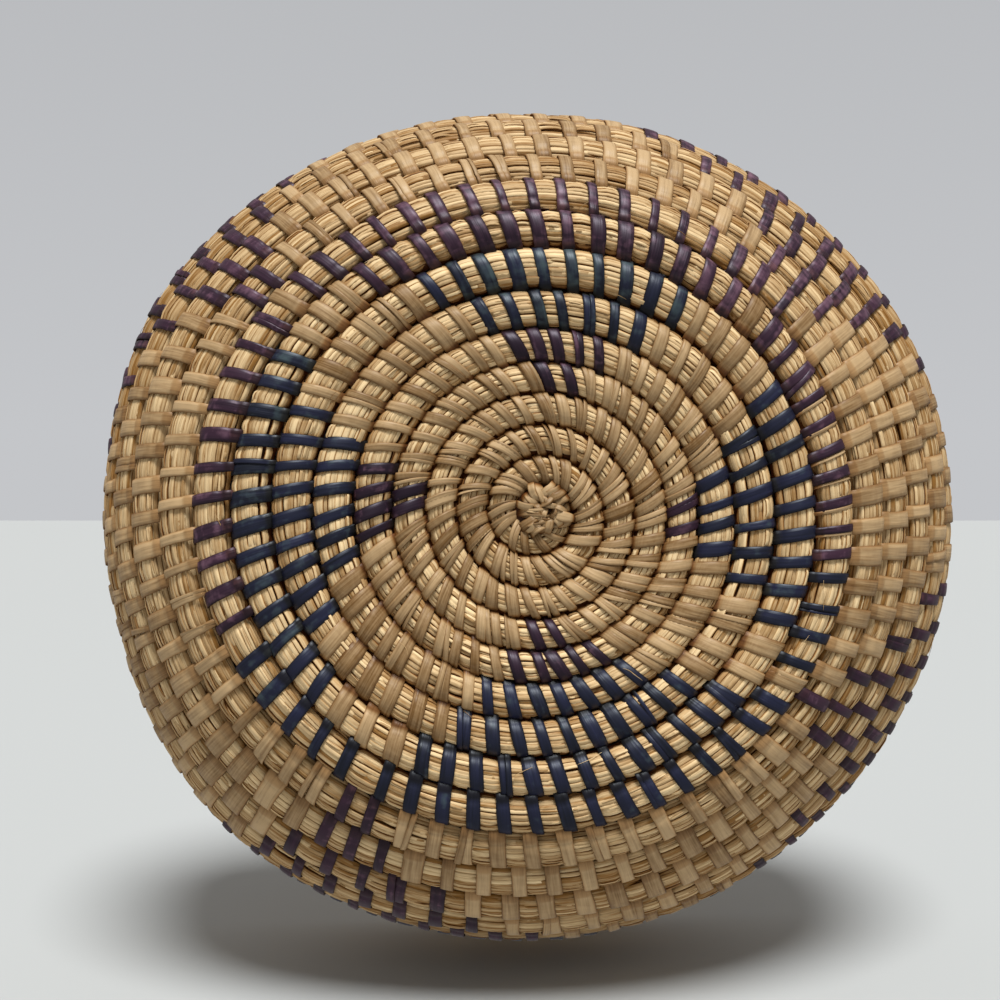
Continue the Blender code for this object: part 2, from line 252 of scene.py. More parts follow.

# The core, painted dark as shade: way between its rings, gap at its ends, how deep it lies, its least
# half depth, how far it reaches into the grooves as a share of half the way between turns, and how much
# painted shade it has
CORE_CORNERS = 16
CORE_STEP = 2.5 * MM
CORE_END_GAP = 0.3 * MM
CORE_INSET = 1.15 * MM
LEAST_CORE = 0.3 * MM
CORE_OVERLAP = 1.07
CORE_SHADE_AT_TURNS = ((10.0, 0.9), (12.0, 0.35))

# Thin strands, folded strips and short ends of the knot, and for each kind the least and most of
# its place, heading and bend in radians, half length, height, dip, width and tilt
KNOT_COUNTS = (9, 19, 9)
KNOT_POINTS = 15
KNOT_AWAY = ((0.0, 0.0), (3.4, 4.8), (0.6, 2.6))
KNOT_HEADING = ((-0.3, 0.3), (-0.2, 0.7), (-1.6, 1.6))
KNOT_BEND = ((-0.2, 0.2), (-0.35, 0.35), (-0.4, 0.4))
KNOT_REACH = ((2.4, 4.2), (2.2, 3.2), (1.3, 2.3))
KNOT_HEIGHT = ((2.2, 2.9), (2.7, 3.3), (2.4, 3.1))
KNOT_DIP = ((1.4, 2.4), (1.9, 3.0), (1.4, 2.4))
KNOT_WIDTH = ((0.4, 0.8), (1.4, 2.4), (0.7, 1.5))
KNOT_TILT = ((-0.3, 0.3), (-1.0, 1.0), (-0.7, 0.7))
# A strip has painted shade from this height on, growing over this much
KNOT_SHADE_FROM = 3.5 * MM
KNOT_SHADE_OVER = 1.5 * MM
# Rings of the knot's core, painted dark as shade: height and radius in millimetres
KNOT_CORE_CORNERS = 24
KNOT_CORE_RINGS = ((4.2, 3.0), (4.6, 5.2), (6.5, 6.4), (8.5, 6.4), (10.4, 5.0), (10.8, 3.0))

# Loose fibres: how many, points on each, and the least and most of length, lift and width in
# millimetres
FIBRES = 170
FIBRE_POINTS = 9
FIBRE_START_TURN = 3.0
FIBRE_END_TURN = COIL_END_TURN - 0.3
FIBRE_LENGTHS = (2.5, 7.0)
FIBRE_LIFTS = (0.1, 0.45)
FIBRE_WIDTHS = (0.1, 0.24)

# Streaks of the fibre: cells of noise to a metre across and along a strip
FINE_STREAKS = (2600.0, 110.0)
BROAD_STREAKS = (700.0, 45.0)
SPOTS_TO_A_METRE = 60.0
# Share of red, green and blue that the painted shade leaves in the deepest groove: light that reaches
# it has met the fibre many times, which takes more of the green and the blue
PAINTED_SHADE_SHARES = (0.1, 0.03, 0.006)
# The higher the power, the finer the line of painted shade at a strip's edges
EDGE_LINE_POWER = 8.0
DRESSED_GRASS = "grass_dressed"
DRESSED_LEAF = "natural_leaf_dressed"


class BasketSizes(bpy.types.PropertyGroup):
    """Sizes of the grass stems and of the leaf."""

    stem_width: bpy.props.FloatProperty(
        name="Stem width", description="Width of one grass stem", default=0.98 * MM, unit="LENGTH")
    stem_thickness: bpy.props.FloatProperty(
        name="Stem thickness", description="Thickness of one grass stem", default=1.0 * MM, unit="LENGTH")
    stem_length: bpy.props.FloatProperty(
        name="Stem length", description="Length of each stem that is fed in", default=92.0 * MM,
        unit="LENGTH")
    stem_step: bpy.props.FloatProperty(
        name="Stem step", description="Length of one straight piece of a stem", default=1.5 * MM,
        unit="LENGTH")
    leaf_thickness: bpy.props.FloatProperty(
        name="Leaf thickness", description="Thickness of the split leaf", default=0.3 * MM, unit="LENGTH")


class BasketColours(bpy.types.PropertyGroup):
    """Colours of the grass and of the leaf."""

    grass_light: bpy.props.FloatVectorProperty(
        name="Grass, light", description="Colour of the palest stems", subtype="COLOR", size=4,
        min=0.0, max=1.0, default=(0.955, 0.785, 0.495, 1.0))
    grass_dark: bpy.props.FloatVectorProperty(
        name="Grass, dark", description="Colour of the darkest stems", subtype="COLOR", size=4,
        min=0.0, max=1.0, default=(0.29, 0.148, 0.038, 1.0))
    leaf_light: bpy.props.FloatVectorProperty(
        name="Leaf, light", description="Colour of the palest natural leaf", subtype="COLOR", size=4,
        min=0.0, max=1.0, default=(0.472, 0.322, 0.168, 1.0))
    leaf_dark: bpy.props.FloatVectorProperty(
        name="Leaf, dark", description="Colour of the darkest natural leaf", subtype="COLOR", size=4,
        min=0.0, max=1.0, default=(0.147, 0.0725, 0.0205, 1.0))
    navy_light: bpy.props.FloatVectorProperty(
        name="Navy, light", description="Colour of light navy leaf", subtype="COLOR", size=4,
        min=0.0, max=1.0, default=(0.0125, 0.014, 0.041, 1.0))
    navy_wear_and_sheen: bpy.props.FloatVectorProperty(
        name="Navy, worn", description="Colour of worn spots of navy leaf", subtype="COLOR", size=4,
        min=0.0, max=1.0, default=(0.055, 0.085, 0.090, 1.0))
    navy_dark: bpy.props.FloatVectorProperty(
        name="Navy, deep", description="Colour of deep navy leaf", subtype="COLOR", size=4,
        min=0.0, max=1.0, default=(0.004, 0.005, 0.010, 1.0))
    purple_light: bpy.props.FloatVectorProperty(
        name="Purple, light", description="Colour of light purple leaf", subtype="COLOR", size=4,
        min=0.0, max=1.0, default=(0.042, 0.0155, 0.031, 1.0))
    purple_wear_and_sheen: bpy.props.FloatVectorProperty(
        name="Purple, worn", description="Colour of worn spots of purple leaf", subtype="COLOR", size=4,
        min=0.0, max=1.0, default=(0.16, 0.08, 0.115, 1.0))
    purple_dark: bpy.props.FloatVectorProperty(
        name="Purple, deep", description="Colour of deep purple leaf", subtype="COLOR", size=4,
        min=0.0, max=1.0, default=(0.012, 0.005, 0.012, 1.0))
    backdrop: bpy.props.FloatVectorProperty(
        name="Backdrop", description="Colour of the room behind the basket", subtype="COLOR", size=4,
        min=0.0, max=1.0, default=(0.553, 0.563, 0.583, 1.0))
    room_light: bpy.props.FloatVectorProperty(
        name="Room light", description="Colour of the light from all around", subtype="COLOR", size=4,
        min=0.0, max=1.0, default=(1.0, 0.975, 0.95, 1.0))
    table: bpy.props.FloatVectorProperty(
        name="Table", description="Colour of the table top", subtype="COLOR", size=4,
        min=0.0, max=1.0, default=(0.45, 0.467, 0.465, 1.0))


def smooth_stations(turns, stations, column, reach=0.35):
    """Values at the turns: straight lines between the stations, rounded over the reach."""
    places = [station[0] for station in stations]
    values = [station[column] for station in stations]
    total = np.zeros_like(turns)
    shifts = np.linspace(-1.0, 1.0, 9)
    for shift in shifts:
        total += np.interp(turns + shift * reach, places, values)
    return total / len(shifts)


def station_value(turns, stations):
    """Straight lines between the stations."""
    return np.interp(turns, [station[0] for station in stations], [station[1] for station in stations])


def clock_of(turns):
    """Clock degrees, seen from below, of a place on the bundle."""
    return np.mod(180.0 - 360.0 * turns, 360.0)


class Coil:
    """The winding as dense tables over turns, with lengths along the bundle."""

    def __init__(self):
        self.turns = np.arange(TABLE_START_TURN, TABLE_END_TURN, 1.0 / TABLE_STEPS_A_TURN)
        self.radius = smooth_stations(self.turns, COIL_LINE, 1) * MM
        self.height = smooth_stations(self.turns, COIL_LINE, 2) * MM
        # straight on past the last station, so that the rim doesn't flatten
        past = self.turns > STRAIGHT_PAST_TURN
        first_past = np.argmax(past)
        for table in (self.radius, self.height):
            slope = table[first_past] - table[first_past - 1]
            table[past] = table[first_past - 1] + slope * np.arange(1, past.sum() + 1)
        self.stray_x, self.stray_y = (smooth_stations(self.turns, STRAY, column) * MM for column in (1, 2))
        self.oval = smooth_stations(self.turns, STRAY, 3)
        line = self.place(self.turns)
        self.length = np.cumsum(np.linalg.norm(np.diff(line, axis=0, prepend=line[:1]), axis=-1))
        self.length -= np.interp(COIL_START_TURN, self.turns, self.length)
        to_next = np.linalg.norm(self.place(self.turns + 1.0) - line, axis=-1)
        to_last = np.interp(self.turns - 1.0, self.turns, to_next)
        half_room = 0.25 * (to_last + to_next)
        self.fill = station_value(self.turns, FILL_AT_TURNS)
        full = half_room * self.fill
        narrow = self.radius < NARROW_RADIUS
        full[narrow] = np.minimum(full, NARROW_HALF_RISE + NARROW_GROWTH_SHARE * self.radius)[narrow]
        # the rim tapers and lies down on the turn before it
        taper = np.clip((COIL_END_TURN - self.turns) / RIM_TAPER_TURNS, 0.0, 1.0)
        self.half_rise = full * (RIM_TIP_RISE_SHARE + (1.0 - RIM_TIP_RISE_SHARE) * taper)
        self.half_depth = full * station_value(self.turns, DEPTH_AT_TURNS)
        self.half_depth *= RIM_TIP_DEPTH_SHARE + (1.0 - RIM_TIP_DEPTH_SHARE) * taper
        self.sink = full - self.half_rise

    def place(self, turns):
        """Middle of the bundle, with the hand's unevenness."""
        angle = FULL_TURN * turns
        bulge = station_value(clock_of(turns), BULGES) * MM * station_value(turns, BULGES_AT_TURNS)
        r = np.interp(turns, self.turns, self.radius) + bulge
        oval = 0.5 * np.interp(turns, self.turns, self.oval)
        x = r * np.cos(angle) * (1.0 + oval) + np.interp(turns, self.turns, self.stray_x)
        y = r * np.sin(angle) * (1.0 - oval) + np.interp(turns, self.turns, self.stray_y)
        return np.stack((x, y, np.interp(turns, self.turns, self.height)), -1)

    def half_sizes(self, turns):
        """Half depth and half rise of the bundle."""
        return np.interp(turns, self.turns, self.half_depth), np.interp(turns, self.turns, self.half_rise)

    def at_length(self, lengths):
        """Turn at a length along the bundle."""
        return np.interp(lengths, self.length, self.turns)

    def length_at(self, turns):
        """Length along the bundle at a turn."""
        return np.interp(turns, self.turns, self.length)

    def frame_at(self, turns):
        """Middle, way along, way out of the bowl's outer face and way to the mouth."""
        nearby = 0.01
        middle = self.place(turns)
        along = self.place(turns + nearby) - self.place(turns - nearby)
        along /= np.linalg.norm(along, axis=-1, keepdims=True)
        rise = self.place(turns + 1.0) - self.place(turns - 1.0)
        rise -= np.sum(rise * along, -1, keepdims=True) * along
        rise /= np.linalg.norm(rise, axis=-1, keepdims=True)
        out = -np.cross(rise, along)
        middle -= np.interp(turns, self.turns, self.sink)[..., None] * rise
        return middle, along, out, rise


def rounded(angle, power):
    """Out and rise shares of a circle, or above a power of 2 a rounded square, at an angle."""
    c, s = np.cos(angle), np.sin(angle)
    return (np.sign(c) * np.abs(c) ** (2.0 / power), np.sign(s) * np.abs(s) ** (2.0 / power))


def squareness(turns):
    """Power of the bundle's section: round by the knot, squarer further out."""
    return station_value(turns, SQUARENESS_AT_TURNS)


def even_angle(shares, power):
    """Angle at a share of the way around a bundle's section."""
    fine_steps = 1440
    angles = np.linspace(0.0, FULL_TURN, fine_steps + 1)
    way = np.hypot(*(np.diff(values, prepend=values[0]) for values in rounded(angles, power))).cumsum()
    return np.interp(np.mod(shares, 1.0) * way[-1], way, angles)


def smooth_noise(rng, places, spacing):
    """Smooth random values from -1 to 1 along the last axis of places, new for each row."""
    rows = places.shape[0]
    cells = places / spacing
    base = np.floor(cells.min(axis=1, keepdims=True))
    span = int(np.ceil((cells - base).max())) + 3
    knots = rng.uniform(-1.0, 1.0, (rows, span))
    low = np.floor(cells - base).astype(int)
    share = cells - base - low
    share = share * share * (3.0 - 2.0 * share)
    row = np.arange(rows)[:, None]
    return knots[row, low] * (1.0 - share) + knots[row, low + 1] * share


def strip_noise(rng, rows, steps, cells):
    """Smooth random values over the steps of each strip, with a new draw for each cell."""
    return smooth_noise(rng, np.tile(np.linspace(0, cells, steps), (rows, 1)), 1.0)


def offset(out_by, rise_by, out, rise):
    """A way out of the bowl's face and towards the mouth."""
    return out_by[..., None] * out + rise_by[..., None] * rise


def rings_around(points, first, second, first_by, second_by):
    """Corners around each point, by so much along its first and its second way."""
    return (points[:, :, None, :] + first_by[..., None] * first[:, :, None, :]
            + second_by[..., None] * second[:, :, None, :])


def in_groove(rise_share, start):
    """How far a place is into the groove between two turns: 0 up to the start, 1 at its end."""
    return np.clip((np.abs(rise_share) - start) / (1.0 - start), 0.0, 1.0) ** 1.5


def add_mesh(name, rings, material, **attributes):
    """A mesh of many closed tubes: rings is tubes x stations x corners x 3, with flat caps.

    Each attribute is tubes x stations x corners, or spreads to that.
    """
    tubes, stations, corners, _ = rings.shape
    points = rings.reshape(-1, 3)
    index = np.arange(tubes * stations * corners).reshape(tubes, stations, corners)
    after = np.roll(index, -1, axis=2)
    quads = np.stack((index[:, :-1], after[:, :-1], after[:, 1:], index[:, 1:]), -1).reshape(-1, 4)
    caps = np.concatenate((index[:, 0, ::-1], index[:, -1]))
    mesh = bpy.data.meshes.new(name)
    mesh.vertices.add(len(points))
    mesh.vertices.foreach_set("co", points.astype(np.float32).ravel())
    mesh.loops.add(quads.size + caps.size)
    mesh.loops.foreach_set("vertex_index", np.concatenate((quads.ravel(), caps.ravel())).astype(np.int32))
    mesh.polygons.add(len(quads) + len(caps))
    starts = np.concatenate((np.arange(len(quads)) * 4, quads.size + np.arange(len(caps)) * corners))
    mesh.polygons.foreach_set("loop_start", starts.astype(np.int32))
    mesh.update(calc_edges=True)
    mesh.shade_smooth()
    for key, values in attributes.items():
        layer = mesh.attributes.new(key, "FLOAT", "POINT")
        layer.data.foreach_set("value", np.broadcast_to(values, rings.shape[:3]).astype(np.float32).ravel())
    mesh.materials.append(material)
    piece = bpy.data.objects.new(name, mesh)
    bpy.context.scene.collection.objects.link(piece)
    return piece


def pitch_at(turns):
    """Turns from one stitch to the next."""
    return station_value(turns, STITCH_DEGREES_AT_TURNS) / 360.0


def stitch_plan():
    """Turn and dye of every stitch: the dyed runs, and natural stitches between them."""
    dyed = []
    for label, dye, first, last, count in DYED_RUNS:
        for degrees in np.linspace(first, last, count):
            dyed.append((label + 0.5 - degrees / 360.0, dye))
    dyed.sort()
    kept = []
    for turn, dye in dyed:
        if not kept or turn - kept[-1][0] > LEAST_PITCH_SHARE * pitch_at(turn):
            kept.append((turn, dye))
    plan = []
    ends = [(FIRST_STITCH_TURN, None)] + kept + [(LAST_STITCH_TURN, None)]
    for (turn, dye), (next_turn, _) in zip(ends, ends[1:]):
        if dye is not None:
            plan.append((turn, dye))
        place = turn
        pitches = []
        while place < next_turn:
            pitches.append(pitch_at(place))
            place += pitches[-1]
        # a last pitch that is more than half past the next stitch is left out
        if place - next_turn >= 0.5 * pitches[-1]:
            pitches.pop()
        if pitches:
            shares = np.cumsum(pitches) / sum(pitches)
            plan += [(turn + share * (next_turn - turn), NATURAL) for share in shares[:-1]]
    turns = np.array([turn for turn, _ in plan])
    dyes = np.array([dye for _, dye in plan])
    return turns, dyes


@functools.cache
def winding():
    """The coil and the plan of its stitches, made once."""
    return Coil(), stitch_plan()


def stitch_path(power, last_angle, foot):
    """The way of a stitch around the bundle, in shares of its half depth and half rise.

    It starts on top, comes down the outer face, crosses the groove at its foot, goes through the
    shoulder of the turn before, and comes back up the inner face.
    """
    outer_steps = 12
    outer = np.radians(np.linspace(90.0, last_angle, outer_steps))
    first_half = np.concatenate((np.stack(rounded(outer, power), -1), np.array(foot)))
    second_half = first_half[::-1] * np.array((-1.0, 1.0))
    return np.concatenate((first_half, second_half))


# Ways of sewing in the base and in the wall
BASE_STITCH = stitch_path(2.0, -70.0, ((0.25, -1.0), (0.15, -1.05), (0.08, -1.08), (0.03, -1.1)))
WALL_STITCH = stitch_path(
    WALL_SQUARENESS, -40.0, ((0.86, -0.95), (0.74, -1.24), (0.5, -1.31), (0.2, -1.33)))
# Sections of a strip and of a stem, in shares of their width and thickness and of half of them
LEAF_PROFILE = np.array(((-0.5, 0.0), (-0.47, 0.85), (-0.2, 1.12), (0.2, 1.12), (0.47, 0.85), (0.5, 0.0)))
STEM_PROFILE = np.array(((1.0, 0.1), (0.72, 0.9), (-0.72, 0.9), (-1.0, 0.1), (-0.6, -0.9), (0.6, -0.9)))


def lay_strips(name, points, normal, wide, tilts, tones, depth, sizes, material, worn=0.0):
    """Flat leaf strips along rows of points: strips x steps x 3, with the way out of the leaf."""
    way = np.gradient(points, axis=1)
    way /= np.linalg.norm(way, axis=-1, keepdims=True)
    across = np.cross(normal, way)
    across /= np.linalg.norm(across, axis=-1, keepdims=True)
    normal = np.cross(way, across)
    offsets = LEAF_PROFILE[:, 0] * wide[..., None]
    thickness = np.minimum(sizes.leaf_thickness, MOST_THICKNESS_SHARE * wide)[..., None]
    heights = LEAF_PROFILE[:, 1] * thickness + tilts[:, None, None] * LEAF_PROFILE[:, 0]
    run = np.linalg.norm(np.diff(points, axis=1, prepend=points[:, :1]), axis=-1).cumsum(axis=1)
    return add_mesh(
        name, rings_around(points, across, normal, offsets, heights), material,
        lengthwise=run[..., None], crosswise=offsets, edge=np.abs(LEAF_PROFILE[:, 0] * 2.0),
        tone=tones[:, None, None], depth=depth[..., None], worn=np.reshape(worn, (-1, 1, 1)))


def stitch_shift(on_outer, rise_share, lean, pitch):
    """Way along the coil at a place on a stitch, which leans on the outer face and moves on inside."""
    outer = -0.5 * lean * rise_share
    inner = 0.5 * pitch + rise_share * 0.5 * (pitch - lean)
    return outer * on_outer + inner * (1.0 - on_outer)


def make_stitches(name, coil, chosen, sizes, material, seed):
    """Flat leaf strips around the bundle at the chosen stitches."""
    rng = np.random.default_rng(seed)
    turns, widths, tilts, leans, tones, lifts, moves = chosen
    count = len(turns)
    wall = station_value(turns, WALL_SEWING_AT_TURNS)[:, None, None]
    path = (1.0 - wall) * BASE_STITCH + wall * WALL_STITCH
    out_share, rise_share = path[..., 0], path[..., 1]
    steps = path.shape[1]
    middle_length = (coil.length_at(turns) + moves)[:, None]
    pitch = (pitch_at(turns) * FULL_TURN * np.interp(turns, coil.turns, coil.radius))[:, None]
    on_outer = np.clip(0.5 + 2.0 * out_share, 0.0, 1.0)
    shift = stitch_shift(on_outer, rise_share, leans[:, None] * MM, pitch)
    at = coil.at_length(middle_length + shift + STITCH_WAVER * strip_noise(rng, count, steps, 3))
    centre, along, out, rise = coil.frame_at(at)
    lift = (STITCH_LIFT + lifts)[:, None]
    # at the edges of a flat turn the strip is pressed in by the next turn
    squeeze = rng.uniform(0.0, STITCH_SQUEEZE, count)[:, None]
    pressed = squeeze * station_value(at, FLAT_AT_TURNS) * rise_share ** 4
    half_depth, half_rise = coil.half_sizes(at)
    x = (half_depth + lift) * out_share
    y = (half_rise + lift - pressed) * rise_share
    dx, dy = np.gradient(x, axis=1), np.gradient(y, axis=1)
    slope = np.hypot(dx, dy)
    wide = widths[:, None] * (1.0 + 0.12 * strip_noise(rng, count, steps, 4))
    # painted shade deep in the groove between turns, less on the wall
    groove_shade = in_groove(rise_share, 0.75) * (0.85 - 0.7 * wall[..., 0])
    # wear of the dye, with painted sheen on the top where the light falls
    worn = station_value(clock_of(turns), WEAR_AND_SHEEN_AT_CLOCK) * rng.uniform(0.3, 1.0, count)
    worn = worn * station_value(turns, WEAR_AND_SHEEN_AT_TURNS)
    return lay_strips(name, centre + offset(x, y, out, rise), offset(-dy / slope, dx / slope, out, rise),
                      wide, tilts, tones, groove_shade, sizes, material, worn)


def pinch_at(coil, stitch_lengths, places, angles):
    """How free a stem is: 0 where a stitch presses it, 1 halfway between two stitches."""
    turns = coil.at_length(places)

    def stitch_before(lengths):
        low = np.clip(np.searchsorted(stitch_lengths, lengths) - 1, 0, len(stitch_lengths) - 2)
        return stitch_lengths[low], stitch_lengths[low + 1] - stitch_lengths[low]

    _, pitch = stitch_before(places)
    lean = station_value(turns, STITCH_LEAN_AT_TURNS) * MM
    moved = places - stitch_shift(np.cos(angles) > 0.0, np.sin(angles), lean, pitch)
    before, pitch = stitch_before(moved)
    phase = np.clip((moved - before) / pitch, 0.0, 1.0)
    middle = 1.0 - np.abs(2.0 * phase - 1.0)
    proud = np.clip((middle - station_value(turns, PRESSED_AT_TURNS)) / SWELL_SHARE, 0.0, 1.0)
    return np.sin(0.5 * math.pi * proud)


def stem_plan(rng, near, far, lanes, sizes):
    """Start, length, share of the way around, slant, width and height of each stem of a piece."""
    advance = STEM_ADVANCE_SHARE * sizes.stem_length
    loose_length = LOOSE_LENGTH_SHARE * sizes.stem_length
    stems = []
    for lane in range(lanes):
        place = near - rng.uniform(0.0, 1.0) * advance
        while place < far - SHORTEST_STEM:
            share = (lane + rng.uniform(-STEM_STRAY_SHARE, STEM_STRAY_SHARE)) / lanes
            width, height = rng.uniform(*STEM_WIDTH_SHARES), rng.uniform(*STEM_HEIGHTS)
            stems.append((place, sizes.stem_length, share, 0.0, width, height))
            place += advance * rng.uniform(0.8, 1.0)
    for _ in range(int((far - near) / sizes.stem_length * LOOSE_STEMS)):
        place = rng.uniform(near, far) - 0.5 * loose_length
        share, slant = rng.uniform(0.0, 1.0), rng.uniform(-LOOSE_SLANT_SHARE, LOOSE_SLANT_SHARE)
        width, height = rng.uniform(*LOOSE_WIDTH_SHARES), rng.uniform(*LOOSE_HEIGHTS)
        stems.append((place, loose_length, share, slant, width, height))
    return np.transpose(stems)


def make_stems(name, coil, stitch_lengths, start, end, sizes, material, seed):
    """Grass stems laid side by side around the bundle between two turns."""
    rng = np.random.default_rng(seed)
    middle_turn = 0.5 * (start + end)
    near, far = coil.length_at(np.array([start, end]))
    lanes = int(round(math.pi * sum(coil.half_sizes(middle_turn)) / sizes.stem_width))
    own_starts, lengths, shares, slants, widths, heights = (
        values[:, None] for values in stem_plan(rng, near, far, lanes, sizes))
    own_ends = own_starts + lengths
    starts, ends = np.maximum(own_starts, near), np.minimum(own_ends, far)
    step = sizes.stem_step * station_value(middle_turn, STEM_STEP_AT_TURNS)
    stations = int(round(sizes.stem_length / step)) + 1
    places = starts + np.linspace(0.0, 1.0, stations) * (ends - starts)
    around = shares + 0.012 * smooth_noise(rng, places, 23.0 * MM)
    around = around + slants * (places - own_starts) / lengths
    angle = even_angle(around, squareness(middle_turn))
    at = coil.at_length(places)
    centre, along, out, rise = coil.frame_at(at)
    half_depth, half_rise = coil.half_sizes(at)
    out_share, rise_share = rounded(angle, squareness(at))
    free = pinch_at(coil, stitch_lengths, places, angle)
    # stitches press down a stem that stands proud, and leave a deep one deep
    height = heights * np.where(heights > 0.0, free, 1.0)
    swell = (SWELL * free - PRESSED_DEPTH + height + STEM_WAVER * smooth_noise(rng, places, 7.0 * MM)) * MM
    tip = np.clip(np.minimum(places - own_starts, own_ends - places) / STEM_TIP_LENGTH, 0.0, 1.0)
    swell -= STEM_TIP_DIP * (1.0 - tip)
    wall = station_value(at, WALL_AT_TURNS)
    lane_width = math.pi * (half_rise + half_depth) * station_value(squareness(at), GIRTH_AT_POWERS) / lanes
    half_width = 0.5 * lane_width * widths * (0.45 + 0.55 * tip) * (0.94 + 0.05 * free + 0.09 * wall)
    half_thick = np.minimum(0.5 * sizes.stem_thickness, 0.8 * half_width) * (0.5 + 0.5 * tip)
    inset = 0.5 * sizes.stem_thickness
    # under the stitches of a flat turn the stems are tucked in too
    tucked = STEM_TUCK * station_value(at, FLAT_AT_TURNS) * rise_share ** 4 * (1.0 - 0.7 * free)
    x = (half_depth - inset + swell) * out_share
    y = (half_rise - inset + swell - tucked) * rise_share
    out_slope, rise_slope = out_share / half_depth, rise_share / half_rise
    slope = np.hypot(out_slope, rise_slope)
    normal = offset(out_slope / slope, rise_slope / slope, out, rise)
    crosswise = half_width[..., None] * STEM_PROFILE[:, 0]
    rings = rings_around(centre + offset(x, y, out, rise), np.cross(normal, along), normal,
                         crosswise, half_thick[..., None] * STEM_PROFILE[:, 1])
    # painted shade: darker at the tips that dip into the bundle, where a stitch presses a stem down, and in
    # the grooves
    painted_shade = np.maximum(0.5 - 0.5 * tip, (0.24 - 0.2 * wall) * (1.0 - free))
    painted_shade = np.maximum(in_groove(rise_share, 0.8) * (0.6 - 0.5 * wall), painted_shade)
    tones = rng.uniform(0.05, 1.05, len(places))[:, None] - 0.3 * wall
    return add_mesh(name, rings, material, lengthwise=places[..., None], crosswise=crosswise,
                    edge=np.abs(STEM_PROFILE[:, 0]), tone=tones[..., None], depth=painted_shade[..., None])


def make_core(name, coil, start, end, material):
    """The inside of the bundle, painted dark as shade, which also closes the grooves between the turns."""
    near, far = coil.length_at(np.array([start, end]))
    places = np.linspace(near + CORE_END_GAP, far - CORE_END_GAP, int((far - near) / CORE_STEP))[None, :]
    at = coil.at_length(places)
    centre, along, out, rise = coil.frame_at(at)
    corner = np.arange(CORE_CORNERS) / CORE_CORNERS * FULL_TURN
    out_share, rise_share = rounded(corner, 2.0)
    depth = np.maximum(coil.half_sizes(at)[0] - CORE_INSET, LEAST_CORE)[..., None]
    height = np.interp(at, coil.turns, coil.half_rise / coil.fill)[..., None] * CORE_OVERLAP
    rings = rings_around(centre, out, rise, depth * out_share, height * rise_share)
    return add_mesh(name, rings, material, lengthwise=places[..., None], crosswise=corner * 4.0 * MM,
                    edge=0.0, tone=0.1, depth=station_value(at, CORE_SHADE_AT_TURNS)[..., None])


def map_range(tree, value, low, high, to_low=0.0, to_high=1.0):
    """A node that carries a value from one range to another."""
    node = tree.nodes.new("ShaderNodeMapRange")
    for key, limit in (("From Min", low), ("From Max", high), ("To Min", to_low), ("To Max", to_high)):
        node.inputs[key].default_value = limit
    tree.links.new(value, node.inputs["Value"])
    return node.outputs["Result"]


